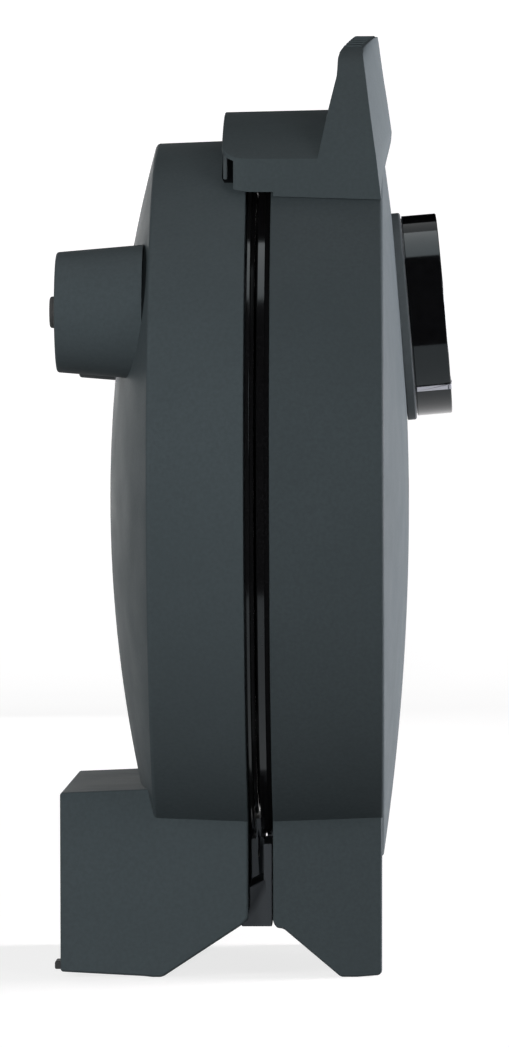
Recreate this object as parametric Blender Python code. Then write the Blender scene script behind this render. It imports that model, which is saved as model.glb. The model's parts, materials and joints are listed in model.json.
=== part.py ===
"""Round electric waffle iron stored upright on the legs at its hinge end.

Metres, +Z up. X runs through the thickness: the base is on the -X side and the lid on the +X side.
Y runs across. The round body's axis is parallel to X. Both legs stand on Z = 0.
"""

import math

import bmesh
import bpy
from mathutils import Matrix, Vector

MM = 0.001

# ---- driving dimensions, in millimetres -------------------------------------------------
BODY_Z = 145.1            # height of the round body's axis
BODY_R = 113.2            # casing radius at the parting planes
RIM_R = 112.2             # casing radius at the outer rims
BASE_PART = -2.1          # base parting plane
BASE_RIM = -30.8          # base outer rim plane
BASE_APEX = -46.0         # top of the base dome
LID_PART = 5.45
LID_RIM = 39.4
LID_APEX = 47.7
WALL = 2.5
PLATE_R = 105.0           # baking plate flange
MOUTH_R = 98.7            # hole that the plate sits in
DISC_R = 96.3             # baking plate's disc
COLLAR_R = 98.2           # collar of the ring round it
LEG_W = 57.5              # half width of both legs
FOOT_Y, FOOT_Z = 68.5, 202.9
FOOT_END = -59.4
LEG_OUT = -59.6           # outer face of the base leg
NUB_Y = 49.0
CORD_Z = 27.0
FOOT_R_END, FOOT_R_ROOT = 18.2, 20.1
HINGE_X, HINGE_Z = 1.7, 20.5
KNUCKLE_R = 3.4
HINGE_CLEAR_R = 8.4       # channel in the base leg in which the hinge blocks swing
HINGE_CLEAR_W = 54.3
BLOCK_IN, BLOCK_OUT = 18.3, 54.0
PIN_R = 1.8
SADDLE_W = 65.5           # half width of the handle's saddle
SADDLE_L, SADDLE_R = -9.5, 38.6
SADDLE_R_TOP = 37.2       # its right end at the crown, inside the fin
SADDLE_CORNER = 8.2
SADDLE_IN_R = 113.6       # radius of the underside over the lid, about the body axis
OVERHANG_R = 114.7        # the same over the base
CROWN_R, CROWN_Z = 126.4, 141.1
CROWN_RISE = 0.02         # the crown climbs this much per mm towards the fin
SLOT_W = 64.0             # half width of the latch window
LATCH_W = 60.0            # half width of the release bar
DIAL_Z = 202.7
DIAL_TILT = 4.7           # degrees above level
DIAL_R = 31.5
DIAL_BACK, DIAL_FACE = 2.6, 13.4
DOME_AT_DIAL = 45.5
POINTER_ANGLE = 47.5      # degrees below level, on the near side
HEATER_R, TUBE_R = 68.0, 3.2
PAN_SCREW_R = 45.0
SCREW_X = 22.0            # handle screws
SCREW_TILT = math.radians(17.0)
GAP = 0.3
SEG = 72

BODY = Vector((0.0, 0.0, BODY_Z))
XAXIS = Vector((1.0, 0.0, 0.0))
YAXIS = Vector((0.0, 1.0, 0.0))
DIAL_AXIS = Vector((math.cos(math.radians(DIAL_TILT)), 0.0, math.sin(math.radians(DIAL_TILT))))
DIAL_ORIGIN = Vector((DOME_AT_DIAL, 0.0, DIAL_Z))
HINGE = Vector((HINGE_X, 0.0, HINGE_Z))
SCREW_AT = BODY + XAXIS * SCREW_X

for old in list(bpy.data.objects):
    bpy.data.objects.remove(old, do_unlink=True)


# ---- helpers ----------------------------------------------------------------------------
def material(name, colour, roughness, metallic=0.0):
    m = bpy.data.materials.new(name)
    m.use_nodes = True
    shader = m.node_tree.nodes["Principled BSDF"]
    shader.inputs["Base Color"].default_value = (*colour, 1.0)
    shader.inputs["Roughness"].default_value = roughness
    shader.inputs["Metallic"].default_value = metallic
    return m


def mesh_object(name, verts, faces):
    mesh = bpy.data.meshes.new(name)
    mesh.from_pydata([tuple(Vector(v) * MM) for v in verts], [], faces)
    bm = bmesh.new()
    bm.from_mesh(mesh)
    bmesh.ops.recalc_face_normals(bm, faces=bm.faces)
    bm.to_mesh(mesh)
    bm.free()
    obj = bpy.data.objects.new(name, mesh)
    bpy.context.collection.objects.link(obj)
    return obj


def axis_frame(direction):
    """Columns: two cross directions, then the axis itself."""
    d = direction.normalized()
    side = YAXIS if abs(d.y) < 0.9 else XAXIS
    u = side.cross(d).normalized()
    w = d.cross(u)
    return Matrix((u, w, d)).transposed()


def turned(name, profile, origin, direction, segments=SEG):
    """Solid of revolution. The profile is a closed loop of (distance along, radius)."""
    frame = axis_frame(direction)
    verts, rings = [], []
    for along, radius in profile:
        if radius < 1e-6:
            rings.append([len(verts)])
            verts.append(origin + frame @ Vector((0, 0, along)))
            continue
        ring = []
        for k in range(segments):
            t = 2 * math.pi * k / segments
            ring.append(len(verts))
            verts.append(origin + frame @ Vector((radius * math.cos(t), radius * math.sin(t), along)))
        rings.append(ring)
    faces = []
    for i, a in enumerate(rings):
        b = rings[(i + 1) % len(rings)]
        if len(a) == 1 and len(b) == 1:
            continue
        for k in range(segments):
            n = (k + 1) % segments
            if len(a) == 1:
                faces.append((a[0], b[k], b[n]))
            elif len(b) == 1:
                faces.append((a[k], b[0], a[n]))
            else:
                faces.append((a[k], b[k], b[n], a[n]))
    return mesh_object(name, verts, faces)


def prism(name, outline, low, high):
    """An (x, z) outline drawn out along Y from low to high."""
    n = len(outline)
    verts = [(x, low, z) for x, z in outline] + [(x, high, z) for x, z in outline]
    faces = [tuple(range(n)), tuple(range(2 * n - 1, n - 1, -1))]
    for i in range(n):
        j = (i + 1) % n
        faces.append((i, n + i, n + j, j))
    return mesh_object(name, verts, faces)


def block(name, low, high):
    x0, y0, z0 = low
    x1, y1, z1 = high
    return prism(name, [(x0, z0), (x1, z0), (x1, z1), (x0, z1)], y0, y1)


def loft(name, sections):
    """Closed body through sections with equal numbers of points, capped at both ends."""
    n = len(sections[0])
    verts = [p for s in sections for p in s]
    faces = []
    for i in range(len(sections) - 1):
        for k in range(n):
            m = (k + 1) % n
            faces.append((i * n + k, i * n + m, (i + 1) * n + m, (i + 1) * n + k))
    for base in (0, (len(sections) - 1) * n):
        for k in range(n // 2 - 1):
            faces.append((base + k, base + k + 1, base + n - 2 - k, base + n - 1 - k))
    return mesh_object(name, verts, faces)


def combine(target, other, operation):
    mod = target.modifiers.new(operation, "BOOLEAN")
    mod.operation = operation
    mod.solver = "EXACT"
    mod.object = other
    dg = bpy.context.evaluated_depsgraph_get()
    mesh = bpy.data.meshes.new_from_object(target.evaluated_get(dg))
    target.modifiers.clear()
    target.data = mesh
    bpy.data.objects.remove(other, do_unlink=True)
    bm = bmesh.new()
    bm.from_mesh(mesh)
    bmesh.ops.remove_doubles(bm, verts=bm.verts, dist=0.000002)
    bm.to_mesh(mesh)
    bm.free()
    return target


def add(target, other):
    return combine(target, other, "UNION")


def cut(target, other):
    return combine(target, other, "DIFFERENCE")


def smooth(obj, angle=35):
    for poly in obj.data.polygons:
        poly.use_smooth = True
    bm = bmesh.new()
    bm.from_mesh(obj.data)
    for e in bm.edges:
        e.smooth = len(e.link_faces) == 2 and e.calc_face_angle(0.0) < math.radians(angle)
    bm.to_mesh(obj.data)
    bm.free()


def finish(obj, mat, angle=35):
    obj.data.materials.clear()
    obj.data.materials.append(mat)
    smooth(obj, angle)
    return obj


def dome(rim_x, apex_x, rim_r, steps):
    """Points of a shallow spherical cap from its rim to its apex, apex last."""
    rise = abs(apex_x - rim_x)
    sphere = (rim_r ** 2 + rise ** 2) / (2 * rise)
    way = 1 if apex_x > rim_x else -1
    points = []
    for k in range(1, steps):
        r = rim_r * (1 - k / steps)
        points.append((apex_x - way * (sphere - math.sqrt(sphere ** 2 - r ** 2)), r))
    points.append((apex_x, 0.0))
    return points


def casing(name, part_x, rim_x, apex_x):
    """Drafted drum with a domed end, and the cutter of its inside with the plate's mouth."""
    way = 1 if apex_x > rim_x else -1
    outer = [(part_x, 0.0), (part_x, BODY_R), (rim_x - way * 0.9, RIM_R + 0.03), (rim_x, RIM_R - 0.8)]
    outer += dome(rim_x, apex_x, RIM_R - 0.8, 6)
    lip = part_x + way * 2.2
    inner = [(part_x - way * 2.0, 0.0), (part_x - way * 2.0, MOUTH_R), (lip, MOUTH_R),
             (lip, BODY_R - WALL), (rim_x - way * 1.6, RIM_R - WALL)]
    inner += dome(rim_x - way * 1.6, apex_x - way * WALL, RIM_R - WALL, 4)
    return (turned(name, outer, BODY, XAXIS), turned(name + "_inside", inner, BODY, XAXIS))


def clearance(part_x, rim_x, apex_x):
    """The casing's outside grown by GAP, to cut what stands against it."""
    way = 1 if apex_x > rim_x else -1
    loop = [(part_x - way * 12.0, 0.0), (part_x - way * 12.0, BODY_R + GAP), (part_x, BODY_R + GAP),
            (rim_x, RIM_R + GAP)]
    loop += dome(rim_x + way * GAP, apex_x + way * GAP, RIM_R, 8)
    return turned("clearance", loop, BODY, XAXIS)


# ---- materials --------------------------------------------------------------------------
M_BASE = material("casing_base", (0.052, 0.062, 0.068), 0.55)
M_LID = material("casing_lid", (0.052, 0.062, 0.068), 0.55)
M_HANDLE = material("handle_plastic", (0.05, 0.06, 0.065), 0.5)
M_COAT = material("nonstick", (0.012, 0.012, 0.013), 0.3)
M_RING = material("ring_gloss", (0.01, 0.01, 0.011), 0.2)
M_STEEL = material("steel", (0.55, 0.55, 0.56), 0.35, 1.0)
M_TUBE = material("heater_sheath", (0.3, 0.29, 0.28), 0.5, 1.0)
M_ALU = material("reflector", (0.7, 0.7, 0.71), 0.35, 1.0)
M_RUBBER = material("rubber", (0.02, 0.02, 0.02), 0.85)
M_DIAL = material("dial_gloss", (0.008, 0.008, 0.009), 0.12)
M_POINTER = material("pointer_silver", (0.75, 0.75, 0.77), 0.3, 1.0)
M_DARK = material("dark_plastic", (0.015, 0.016, 0.018), 0.5)
M_LAMP = material("lamp_lens", (0.45, 0.03, 0.02), 0.2)
M_PALE = material("terminal_plastic", (0.5, 0.48, 0.42), 0.6)

# ---- base casing ------------------------------------------------------------------------
base_shell, base_inside = casing("base_shell", BASE_PART, BASE_RIM, BASE_APEX)
cut(base_shell, base_inside)
cut(base_shell, block("latch_notch", (-8.8, -7.0, 254.0), (0.0, 7.0, 262.0)))
finish(base_shell, M_BASE)

BASE_LEG = [(LEG_OUT, 1.7), (LEG_OUT, 56.5), (-28.0, 57.7), (-28.0, 62.0), (BASE_PART, 62.0),
            (BASE_PART, 17.8), (-4.4, 15.7), (-28.4, 0.0), (-31.4, 0.0), (-34.0, 0.3)]
BASE_LEG_IN = [(-57.0, 4.8), (-57.0, 53.9), (-28.0, 55.0), (-28.0, 64.0), (-9.2, 64.0), (-9.2, 19.8),
               (-28.6, 6.0)]
base_leg = prism("base_leg", BASE_LEG, -LEG_W, LEG_W)
cut(base_leg, prism("leg_inside", BASE_LEG_IN, -LEG_W + WALL, LEG_W - WALL))
cut(base_leg, clearance(BASE_PART, BASE_RIM, BASE_APEX))
channel = [(-HINGE_CLEAR_W, 0), (-HINGE_CLEAR_W, HINGE_CLEAR_R), (HINGE_CLEAR_W, HINGE_CLEAR_R),
           (HINGE_CLEAR_W, 0)]
cut(base_leg, turned("hinge_way", channel, HINGE, YAXIS, 32))
cord_way = [(LEG_OUT - 2, 0), (LEG_OUT - 2, 6.3), (-55, 6.3), (-55, 0)]
cut(base_leg, turned("cord_way", cord_way, Vector((0, 0, CORD_Z)), XAXIS, 24))
for side in (-1, 1):
    y = side * NUB_Y
    cut(base_leg, block("nub_seat", (-61.0, y - 5.3, 1.9), (-58.4, y + 5.3, 4.9)))
finish(base_leg, M_BASE)

for tag, side in (("near", -1), ("far", 1)):
    at = Vector((0, side * FOOT_Y, FOOT_Z))
    post = [(FOOT_END, 0), (FOOT_END, FOOT_R_END - 0.5), (FOOT_END + 0.5, FOOT_R_END),
            (-28.0, FOOT_R_ROOT + 0.6), (-28.0, 0)]
    foot = turned("foot_" + tag, post, at, XAXIS, 40)
    cut(foot, turned("foot_inside", [(-56.6, 0), (-56.6, 15.5), (-26.0, 17.4), (-26.0, 0)], at, XAXIS, 32))
    cut(foot, turned("pad_seat", [(-61, 0), (-61, 5.1), (-56.0, 5.1), (-56.0, 0)], at, XAXIS, 24))
    cut(foot, clearance(BASE_PART, BASE_RIM, BASE_APEX))
    finish(foot, M_BASE)

for tag, side in (("near", -1), ("far", 1)):
    pad = [(-61.5, 0), (-61.5, 4.2), (-60.9, 4.8), (-56.3, 4.8), (-56.3, 7.0), (-54.8, 7.0), (-54.8, 0)]
    finish(turned("foot_pad_" + tag, pad, Vector((0, side * FOOT_Y, FOOT_Z)), XAXIS, 24), M_RUBBER)
    y = side * NUB_Y
    nub = [(-58.7, 2.2), (-61.0, 2.2), (-61.5, 2.6), (-61.5, 4.2), (-61.0, 4.6), (-58.7, 4.6)]
    finish(prism("leg_pad_" + tag, nub, y - 5.0, y + 5.0), M_RUBBER)


# ---- baking plates ----------------------------------------------------------------------
def plate(name, way, floor, pegs):
    """Disc with rows of pegs and a border of the same height. way is +1 when it faces +X."""
    back = floor - way * 2.2
    profile = [(back, 0.0), (back, DISC_R - 1.5), (back + way * 1.5, DISC_R), (pegs, DISC_R), (pegs, 93.2),
               (floor + way * 0.6, 91.8), (floor, 91.0), (floor, 0.0)]
    body = turned(name, profile, BODY, XAXIS, 56)
    verts, faces = [], []
    pitch, half_low, half_top = 18.0, 6.2, 4.8
    for i in range(-5, 5):
        for j in range(-5, 5):
            cy = (i + 0.5) * pitch
            cz = (j + 0.5) * pitch
            if math.hypot(abs(cy) + half_low, abs(cz) + half_low) > 90.0:
                continue
            k = len(verts)
            for x, h in ((floor - way * 0.6, half_low), (pegs, half_top)):
                for sy, sz in ((-1, -1), (1, -1), (1, 1), (-1, 1)):
                    verts.append((x, cy + sy * h, BODY_Z + cz + sz * h))
            faces += [(k, k + 1, k + 2, k + 3), (k + 4, k + 7, k + 6, k + 5)]
            for a in range(4):
                b = (a + 1) % 4
                faces.append((k + a, k + 4 + a, k + 4 + b, k + b))
    add(body, mesh_object("pegs", verts, faces))
    return finish(body, M_COAT, 30)


plate("lower_plate", 1, -7.0, -3.0)
plate("upper_plate", -1, 9.5, 5.2)
lower_ring = [(-0.45, PLATE_R), (-1.8, PLATE_R), (-1.8, COLLAR_R), (-6.0, COLLAR_R), (-6.0, DISC_R + 0.4),
              (0.57, DISC_R + 0.4), (0.57, 98.4), (-0.45, 98.6)]
finish(turned("lower_plate_ring", lower_ring, BODY, XAXIS, 56), M_RING)
upper_ring = [(1.4, PLATE_R), (4.0, PLATE_R), (4.0, 104.2), (5.1, 103.8), (5.1, COLLAR_R), (8.6, COLLAR_R),
              (8.6, DISC_R + 0.4), (1.4, DISC_R + 0.4)]
finish(turned("upper_plate_ring", upper_ring, BODY, XAXIS, 56), M_RING)


# ---- heating parts ----------------------------------------------------------------------
def heating(prefix, way, plate_back):
    """Ring element, reflector pan and its screws, going away from the plate's back."""
    ring_x = plate_back + way * 4.1
    circle = []
    for k in range(8):
        t = k * math.pi / 4
        circle.append((ring_x + TUBE_R * math.cos(t), HEATER_R + TUBE_R * math.sin(t)))
    finish(turned(prefix + "_heater", circle, BODY, XAXIS, 32), M_TUBE, 60)
    pan_x = plate_back + way * 9.5
    pan = [(pan_x, 0), (pan_x, 86.0), (plate_back + way * 2.5, 90.0), (plate_back + way * 2.5, 91.0),
           (pan_x + way * 0.9, 86.9), (pan_x + way * 0.9, 0)]
    reflector = turned(prefix + "_reflector", pan, BODY, XAXIS, 36)
    for k in range(3):
        t = math.radians(90 + 120 * k)
        at = BODY + Vector((0, PAN_SCREW_R * math.cos(t), PAN_SCREW_R * math.sin(t)))
        hole = [(pan_x - 3, 0), (pan_x - 3, 1.9), (pan_x + 3, 1.9), (pan_x + 3, 0)]
        cut(reflector, turned("hole", hole, at, XAXIS, 12))
        head = pan_x + way * 1.3
        screw = [(plate_back + way * 0.5, 0), (plate_back + way * 0.5, 1.5), (head, 1.5), (head, 3.2),
                 (head + way * 1.4, 2.9), (head + way * 2.0, 1.6), (head + way * 2.0, 0)]
        finish(turned("%s_screw_%d" % (prefix, k + 1), screw, at, XAXIS, 12), M_STEEL)
    finish(reflector, M_ALU)


heating("lower", -1, -9.2)
heating("upper", 1, 11.7)

# ---- hinge ------------------------------------------------------------------------------
BORE = [(-70, 0), (-70, PIN_R + GAP), (70, PIN_R + GAP), (70, 0)]
BRACKET = [(-1.8, 39.6), (-0.1, 39.6), (-0.1, 46.2), (0.62, 46.2), (0.62, 33.6), (1.28, 33.6), (1.28, 39.3),
           (2.15, 39.3), (2.15, HINGE_Z), (-1.8, 17.4)]
knuckle = prism("hinge_knuckle", BRACKET, -17.9, 17.9)
barrel = [(-17.9, 0), (-17.9, KNUCKLE_R), (17.9, KNUCKLE_R), (17.9, 0)]
add(knuckle, turned("barrel", barrel, HINGE, YAXIS, 24))
cut(knuckle, turned("bore", BORE, HINGE, YAXIS, 16))
finish(knuckle, M_DARK)

BLOCK = [(5.15, 39.6), (2.5, 39.6), (2.5, 29.5), (-1.8, 27.2), (-1.8, 21.0), (-4.3, 16.6), (-4.3, 15.2),
         (5.15, 15.2)]
for tag, side in (("near", -1), ("far", 1)):
    ends = sorted((side * BLOCK_IN, side * BLOCK_OUT))
    lug = prism("hinge_block_" + tag, BLOCK, *ends)
    hole = [(-50.6 if side < 0 else 0, 0), (-50.6 if side < 0 else 0, PIN_R + GAP),
            (0 if side < 0 else 50.6, PIN_R + GAP), (0 if side < 0 else 50.6, 0)]
    cut(lug, turned("bore", hole, HINGE, YAXIS, 16))
    finish(lug, M_DARK)
pin = [(-50.0, 0), (-50.0, PIN_R - 0.3), (-49.7, PIN_R), (49.7, PIN_R), (50.0, PIN_R - 0.3), (50.0, 0)]
finish(turned("hinge_pin", pin, HINGE, YAXIS, 14), M_STEEL)

# ---- wiring and catch in the base ---------------------------------------------------------
gland = [(-59.5, 3.2), (-59.5, 5.4), (-59.1, 5.9), (-56.7, 5.9), (-56.7, 7.6), (-54.6, 7.6), (-54.6, 3.2)]
finish(turned("cord_gland", gland, Vector((0, 0, CORD_Z)), XAXIS, 24), M_RUBBER)
terminal = block("terminal_block", (-47.0, -17.0, 14.0), (-36.0, 17.0, 24.0))
for k in range(3):
    y = -11.0 + 11.0 * k
    cut(terminal, block("terminal_slot", (-44.5, y - 3.4, 18.0), (-38.5, y + 3.4, 27.0)))
finish(terminal, M_PALE)
finish(block("latch_striker", (-9.4, -6.8, 253.8), (-4.7, 6.8, 254.9)), M_STEEL)

# ---- lid casing ---------------------------------------------------------------------------
lid_shell, lid_inside = casing("lid_shell", LID_PART, LID_RIM, LID_APEX)
cut(lid_shell, lid_inside)
LID_LEG = [(6.6, 15.0), (LID_PART, 16.6), (LID_PART, 62.0), (33.0, 62.0), (38.9, 50.0), (38.7, 2.6),
           (38.4, 1.4), (37.4, 0.5), (31.0, 0.0), (26.1, 0.0), (8.6, 14.8)]
LID_LEG_IN = [(8.4, 64.0), (33.0, 64.0), (36.2, 50.0), (36.2, 3.2), (27.2, 2.8), (8.4, 18.4)]
lid_leg = prism("lid_leg", LID_LEG, -LEG_W, LEG_W)
cut(lid_leg, prism("leg_inside", LID_LEG_IN, -LEG_W + WALL, LEG_W - WALL))
cut(lid_leg, clearance(LID_PART, LID_RIM, LID_APEX))
finish(lid_leg, M_LID)
cut(lid_shell, turned("bezel_seat", [(-1.0, 0), (-1.0, 32.9), (8, 32.9), (8, 0)], DIAL_ORIGIN, DIAL_AXIS, 56))
cut(lid_shell, turned("shaft_way", [(-8, 0), (-8, 6.0), (4, 6.0), (4, 0)], DIAL_ORIGIN, DIAL_AXIS, 24))
LAMPS = (("near", -16.0), ("far", 16.0))
for tag, y in LAMPS:
    lamp_at = Vector((0, y, BODY_Z + 4.0))
    cut(lid_shell, turned("lamp_way", [(40, 0), (40, 3.4), (52, 3.4), (52, 0)], lamp_at, XAXIS, 20))
    lens = [(43.6, 0), (43.6, 4.4), (44.7, 4.4), (44.7, 3.1), (46.9, 3.1), (47.2, 2.6), (47.3, 0)]
    finish(turned("lamp_lens_" + tag, lens, lamp_at, XAXIS, 20), M_LAMP)
screw_way = [(105, 0), (105, 2.0), (118, 2.0), (118, 0)]
for side in (-1, 1):
    out = Vector((0, side * math.sin(SCREW_TILT), math.cos(SCREW_TILT)))
    cut(lid_shell, turned("screw_way", screw_way, SCREW_AT, out, 12))
finish(lid_shell, M_LID)


# ---- handle -------------------------------------------------------------------------------
def under(y):
    return BODY_Z + math.sqrt(SADDLE_IN_R ** 2 - y * y)


def crown(y, x=14.0):
    rise = CROWN_RISE * (x - 14.0) * (1 - (y / SADDLE_W) ** 2)
    return CROWN_Z + math.sqrt(CROWN_R ** 2 - y * y) + rise


def left_end(y):
    over = abs(y) - (SADDLE_W - SADDLE_CORNER)
    if over <= 0:
        return SADDLE_L
    return SADDLE_L + SADDLE_CORNER - math.sqrt(max(SADDLE_CORNER ** 2 - over * over, 0.0))


def band(name, width, low_x, high_x, lift, drop, steps, corner=False):
    """Curved bar over the rim, from the saddle's underside + lift to its crown - drop."""
    stations = [-width + 2 * width * k / steps for k in range(steps + 1)]
    high_top = high_x
    if corner:
        flat = SADDLE_W - SADDLE_CORNER
        ends = [SADDLE_W - SADDLE_CORNER * (1 - math.sin(math.radians(a))) for a in (90, 72, 54, 36, 18)]
        inner = [-flat + 2 * flat * k / steps for k in range(steps + 1)]
        stations = [-e for e in ends] + inner + list(reversed(ends))
        high_top = SADDLE_R_TOP
    sections = []
    for y in stations:
        x0 = left_end(y) if corner else low_x
        sections.append([(x0, y, under(y) + lift), (high_x, y, under(y) + lift),
                         (high_top, y, crown(y, high_top) - drop), (x0, y, crown(y, x0) - drop)])
    return loft(name, sections)


# The fin's left face, as height and place: straight up to its shoulder, then a slanted grip edge.
FIN_LEFT = [(200.0, 7.0), (249.0, 19.6), (266.0, 23.3), (275.5, 25.6), (283.3, 26.4), (290.2, 31.6),
            (300.0, 39.0)]

# One row per level: half width, right face at the sides and at the middle, height at the middle
# and at the sides.
FIN = [
    (65.6, 39.1, 39.6, 251.5, 236.0),
    (65.6, 38.2, 42.4, 258.1, 243.8),
    (65.6, 37.6, 42.6, 260.6, 249.0),
    (63.4, 36.6, 41.9, 265.5, 256.5),
    (60.0, 35.7, 41.3, 269.8, 263.5),
    (55.0, 34.8, 40.1, 277.5, 271.3),
    (50.0, 34.0, 39.2, 284.0, 278.2),
    (45.5, 33.6, 38.7, 287.9, 281.9),
    (40.5, 33.3, 38.3, 290.4, 284.2),
]


def fin_left(z):
    for (z0, x0), (z1, x1) in zip(FIN_LEFT, FIN_LEFT[1:]):
        if z <= z1:
            return x0 + (x1 - x0) * (z - z0) / (z1 - z0)
    return FIN_LEFT[-1][1]


def fin(name, rows, shrink, steps):
    sections = []
    for w, xs, xm, zm, zs in rows:
        w -= shrink
        left, right = [], []
        for k in range(steps + 1):
            y = -w + 2 * w * k / steps
            f = 1 - (y / w) ** 2
            z = zs + (zm - zs) * f
            x0 = fin_left(z) + shrink
            left.append((x0, y, z))
            right.append((max(xs + (xm - xs) * f - shrink, x0 + 0.8), y, z))
        sections.append(left + right[::-1])
    return loft(name, sections)


handle = band("handle_cover", SADDLE_W, SADDLE_L, SADDLE_R, -1.5, 0.0, 18, True)
add(handle, fin("fin", FIN, 0.0, 14))
step_x = LID_PART + 0.75
clear = [(-20.0, 0.0), (-20.0, OVERHANG_R), (step_x, OVERHANG_R), (step_x, SADDLE_IN_R),
         (LID_RIM + 0.3, RIM_R + 0.5)]
clear += dome(LID_RIM + 0.4, LID_APEX + 0.4, RIM_R + 0.2, 7)
cut(handle, turned("casing_clearance", clear, BODY, XAXIS))
cut(handle, band("slot", SLOT_W, -14.0, 36.4, 1.3, 1.3, 18))
hollow = [(w, xs, xm, zm - 2.4, zs - 2.4) for w, xs, xm, zm, zs in FIN[2:7]]
cut(handle, fin("fin_inside", hollow, 2.6, 10))
cut(handle, block("tongue_way", (-9.2, -6.4, 255.0), (0.6, 6.4, 262.5)))
screw_way = [(110, 0), (110, 2.0), (116.5, 2.0), (116.5, 0)]
screw = [(107.6, 0), (107.6, 2.6), (108.4, 3.2), (110.0, 3.2), (110.0, 1.6), (118.8, 1.6), (119.4, 1.0),
         (119.4, 0)]
for tag, side in (("near", -1), ("far", 1)):
    out = Vector((0, side * math.sin(SCREW_TILT), math.cos(SCREW_TILT)))
    cut(handle, turned("screw_way", screw_way, SCREW_AT, out, 12))
    finish(turned("handle_screw_" + tag, screw, SCREW_AT, out, 12), M_STEEL)
finish(handle, M_HANDLE, 30)

# ---- latch --------------------------------------------------------------------------------
bar = band("latch_bar", LATCH_W, -9.0, -7.8, 1.7, 1.7, 18)
add(bar, block("bridge", (-8.4, -5.8, 260.9), (-4.9, 5.8, 262.3)))
add(bar, block("tongue", (-6.6, -5.8, 255.7), (-4.6, 5.8, 262.0)))
finish(bar, M_DARK, 30)

# ---- dial ---------------------------------------------------------------------------------
bezel = [(-0.7, 9.0), (-0.7, 32.6), (1.7, 32.6), (2.2, 32.1), (2.2, 9.0)]
finish(turned("dial_bezel", bezel, DIAL_ORIGIN, DIAL_AXIS, 44), M_DARK)
dial_loop = [(DIAL_BACK, 3.5), (DIAL_BACK, DIAL_R - 0.4), (DIAL_BACK + 0.4, DIAL_R),
             (DIAL_FACE - 0.5, DIAL_R), (DIAL_FACE, DIAL_R - 0.5), (DIAL_FACE, DIAL_R - 4.0),
             (DIAL_FACE - 0.6, DIAL_R - 5.0),
             (DIAL_FACE - 0.6, 0), (9.4, 0), (9.4, 3.5)]
dial = turned("dial", dial_loop, DIAL_ORIGIN, DIAL_AXIS, 44)
dial_frame = axis_frame(DIAL_AXIS)
# The frame's two cross directions are (up, across), so the pointer's angle is taken from them.
up, across = dial_frame.col[0], dial_frame.col[1]
near = -across if across.y > 0 else across
skyward = up if up.z > 0 else -up
p = math.radians(POINTER_ANGLE)
radial = (near * math.cos(p) - skyward * math.sin(p)).normalized()
tangent = DIAL_AXIS.cross(radial)


def bar_on_rim(name, r0, r1, half, a0, a1):
    verts = []
    for a in (a0, a1):
        for r, h in ((r0, -half), (r1, -half), (r1, half), (r0, half)):
            verts.append(DIAL_ORIGIN + DIAL_AXIS * a + radial * r + tangent * h)
    faces = [(0, 1, 2, 3), (7, 6, 5, 4), (0, 4, 5, 1), (1, 5, 6, 2), (2, 6, 7, 3), (3, 7, 4, 0)]
    return mesh_object(name, verts, faces)


cut(dial, bar_on_rim("groove", DIAL_R - 1.4, DIAL_R + 2, 1.15, DIAL_BACK - 1, DIAL_FACE + 1))
finish(dial, M_DIAL)
strip = bar_on_rim("dial_pointer", DIAL_R - 1.1, DIAL_R + 0.25, 0.8, DIAL_BACK + 0.2, DIAL_FACE - 0.1)
finish(strip, M_POINTER)
shaft = [(-19.0, 0), (-19.0, 2.7), (-18.7, 3.0), (8.7, 3.0), (9.0, 2.7), (9.0, 0)]
finish(turned("dial_shaft", shaft, DIAL_ORIGIN, DIAL_AXIS, 20), M_STEEL)

box_loop = [(-17.0, 3.5), (-17.0, 13.0), (-16.0, 14.0), (-6.0, 14.0), (-5.0, 13.0), (-5.0, 3.5)]
finish(turned("thermostat", box_loop, DIAL_ORIGIN, DIAL_AXIS, 24), M_PALE)

# ---- origins of the moving pieces on their joint axes -------------------------------------
ORIGINS = {
    "dial": DIAL_ORIGIN, "dial_pointer": DIAL_ORIGIN, "dial_shaft": DIAL_ORIGIN,
    "latch_bar": Vector((-6.1, 0.0, 262.0)),
}
LID_NODES = ("lid_", "upper_", "handle_", "dial_bezel", "thermostat", "hinge_block", "lamp_lens")
for obj in list(bpy.data.objects):
    home = ORIGINS.get(obj.name)
    if home is None and obj.name.startswith(LID_NODES):
        home = HINGE
    if home is not None:
        shift = home * MM
        obj.data.transform(Matrix.Translation(-shift))
        obj.location = shift
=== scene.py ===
"""Studio picture of the round waffle iron, standing upright on its legs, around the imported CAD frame.

The script works in millimetres and scales to metres when a mesh is made. X runs through the thickness
from the base to the lid, Y along the hinge and Z up. The base's half is at negative X.
"""

import json
import math

import bmesh
import bpy
from mathutils import Matrix, Quaternion, Vector


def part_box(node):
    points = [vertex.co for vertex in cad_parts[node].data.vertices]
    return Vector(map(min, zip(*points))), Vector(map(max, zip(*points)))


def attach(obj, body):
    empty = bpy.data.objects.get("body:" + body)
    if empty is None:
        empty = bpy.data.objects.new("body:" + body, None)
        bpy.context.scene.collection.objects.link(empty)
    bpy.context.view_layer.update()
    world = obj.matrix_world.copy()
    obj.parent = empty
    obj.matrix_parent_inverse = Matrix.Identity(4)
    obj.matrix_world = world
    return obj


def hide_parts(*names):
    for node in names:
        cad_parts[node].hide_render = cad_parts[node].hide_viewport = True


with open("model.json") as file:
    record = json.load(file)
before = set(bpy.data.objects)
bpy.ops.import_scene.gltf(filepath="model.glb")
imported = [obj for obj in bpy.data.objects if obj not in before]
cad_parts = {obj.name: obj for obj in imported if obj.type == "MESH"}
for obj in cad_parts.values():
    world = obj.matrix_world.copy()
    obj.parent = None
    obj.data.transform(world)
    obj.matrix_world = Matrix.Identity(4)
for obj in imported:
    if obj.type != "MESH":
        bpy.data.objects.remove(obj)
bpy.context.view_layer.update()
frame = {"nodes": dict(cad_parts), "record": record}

MM = 0.001
XAXIS = Vector((1.0, 0.0, 0.0))
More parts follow.
